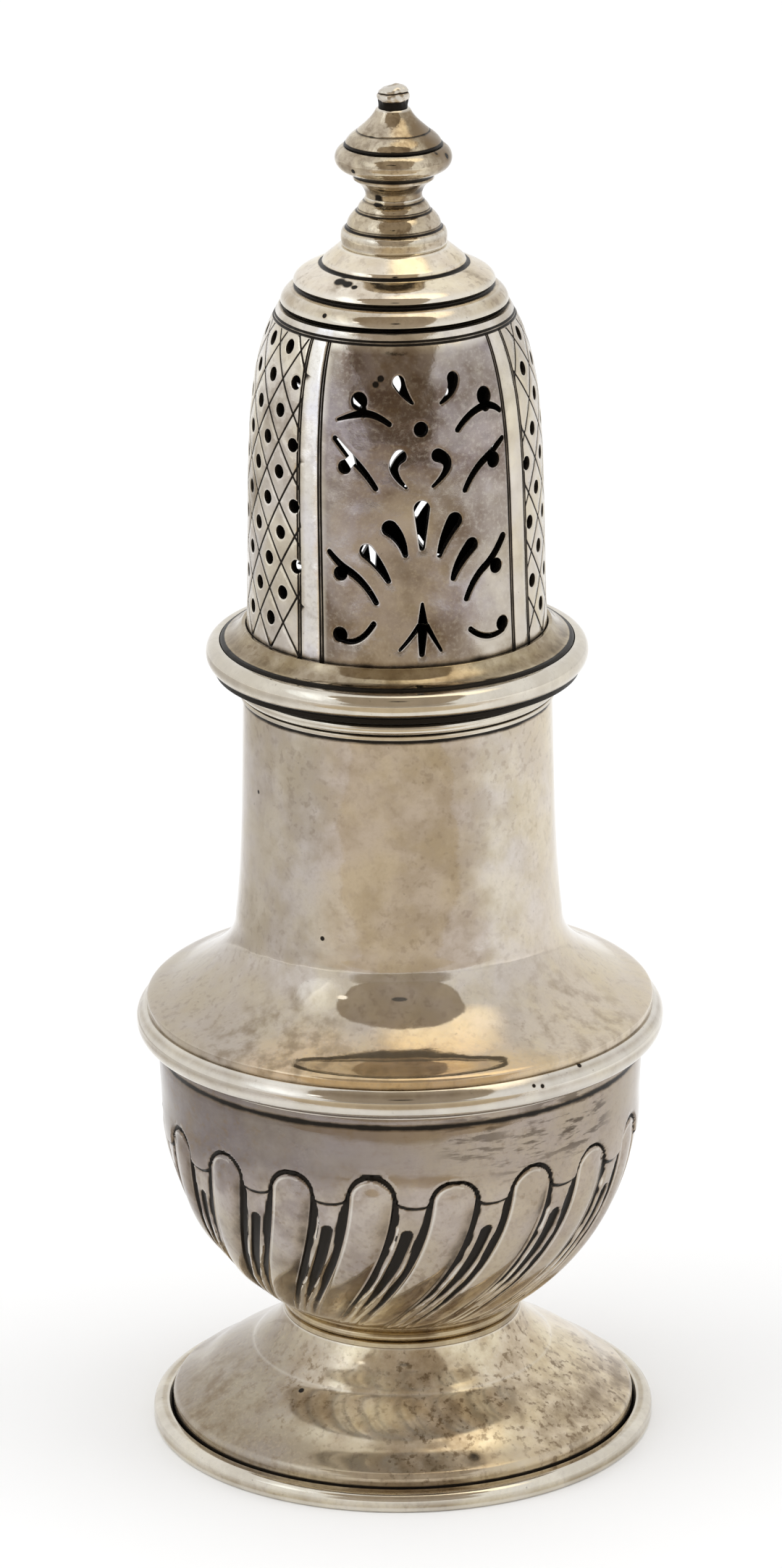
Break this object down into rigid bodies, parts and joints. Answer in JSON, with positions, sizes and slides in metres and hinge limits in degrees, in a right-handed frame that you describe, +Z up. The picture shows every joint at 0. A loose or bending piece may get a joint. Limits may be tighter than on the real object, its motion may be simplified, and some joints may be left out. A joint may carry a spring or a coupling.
{
  "type": "sugar caster",
  "caption": "Silver sugar caster with a domed foot, a swirl-lobed bowl, a tall neck and a pierced lift-off cover with a turned finial.",
  "frame": {"origin": "centre of the foot's underside, on the surface that the caster stands on", "axes": "+Z up along the axis of turning, the front with its foliate panel faces -Y, +X to the right of the front"},
  "size_m": [0.0564, 0.0564, 0.1489],
  "materials": {
    "sheet_silver": "polished, lightly tarnished",
    "wire_silver": "polished, dark in the grooves",
    "dark_silver": "worn and tarnished"
  },
  "bodies": {
    "body": {"foot_wire": "wire_silver", "foot": "sheet_silver", "stem_collet": "wire_silver", "bowl": "sheet_silver", "girdle_wire": "wire_silver", "shoulder_neck": "sheet_silver", "lip_wire": "wire_silver"},
    "cover": {"cover_bezel": "dark_silver", "cover_flange": "sheet_silver", "flange_wire": "wire_silver", "pierced_drum": "sheet_silver", "cap_wire": "wire_silver", "cap_dome": "sheet_silver", "finial_base": "wire_silver", "finial_knop": "wire_silver", "finial_pin": "dark_silver"}
  },
  "joints": [
    {"name": "cover_lift", "type": "slide", "parent": "body", "child": "cover", "axis": [0, 0, 1], "range_m": [0, 0.06]}
  ]
}
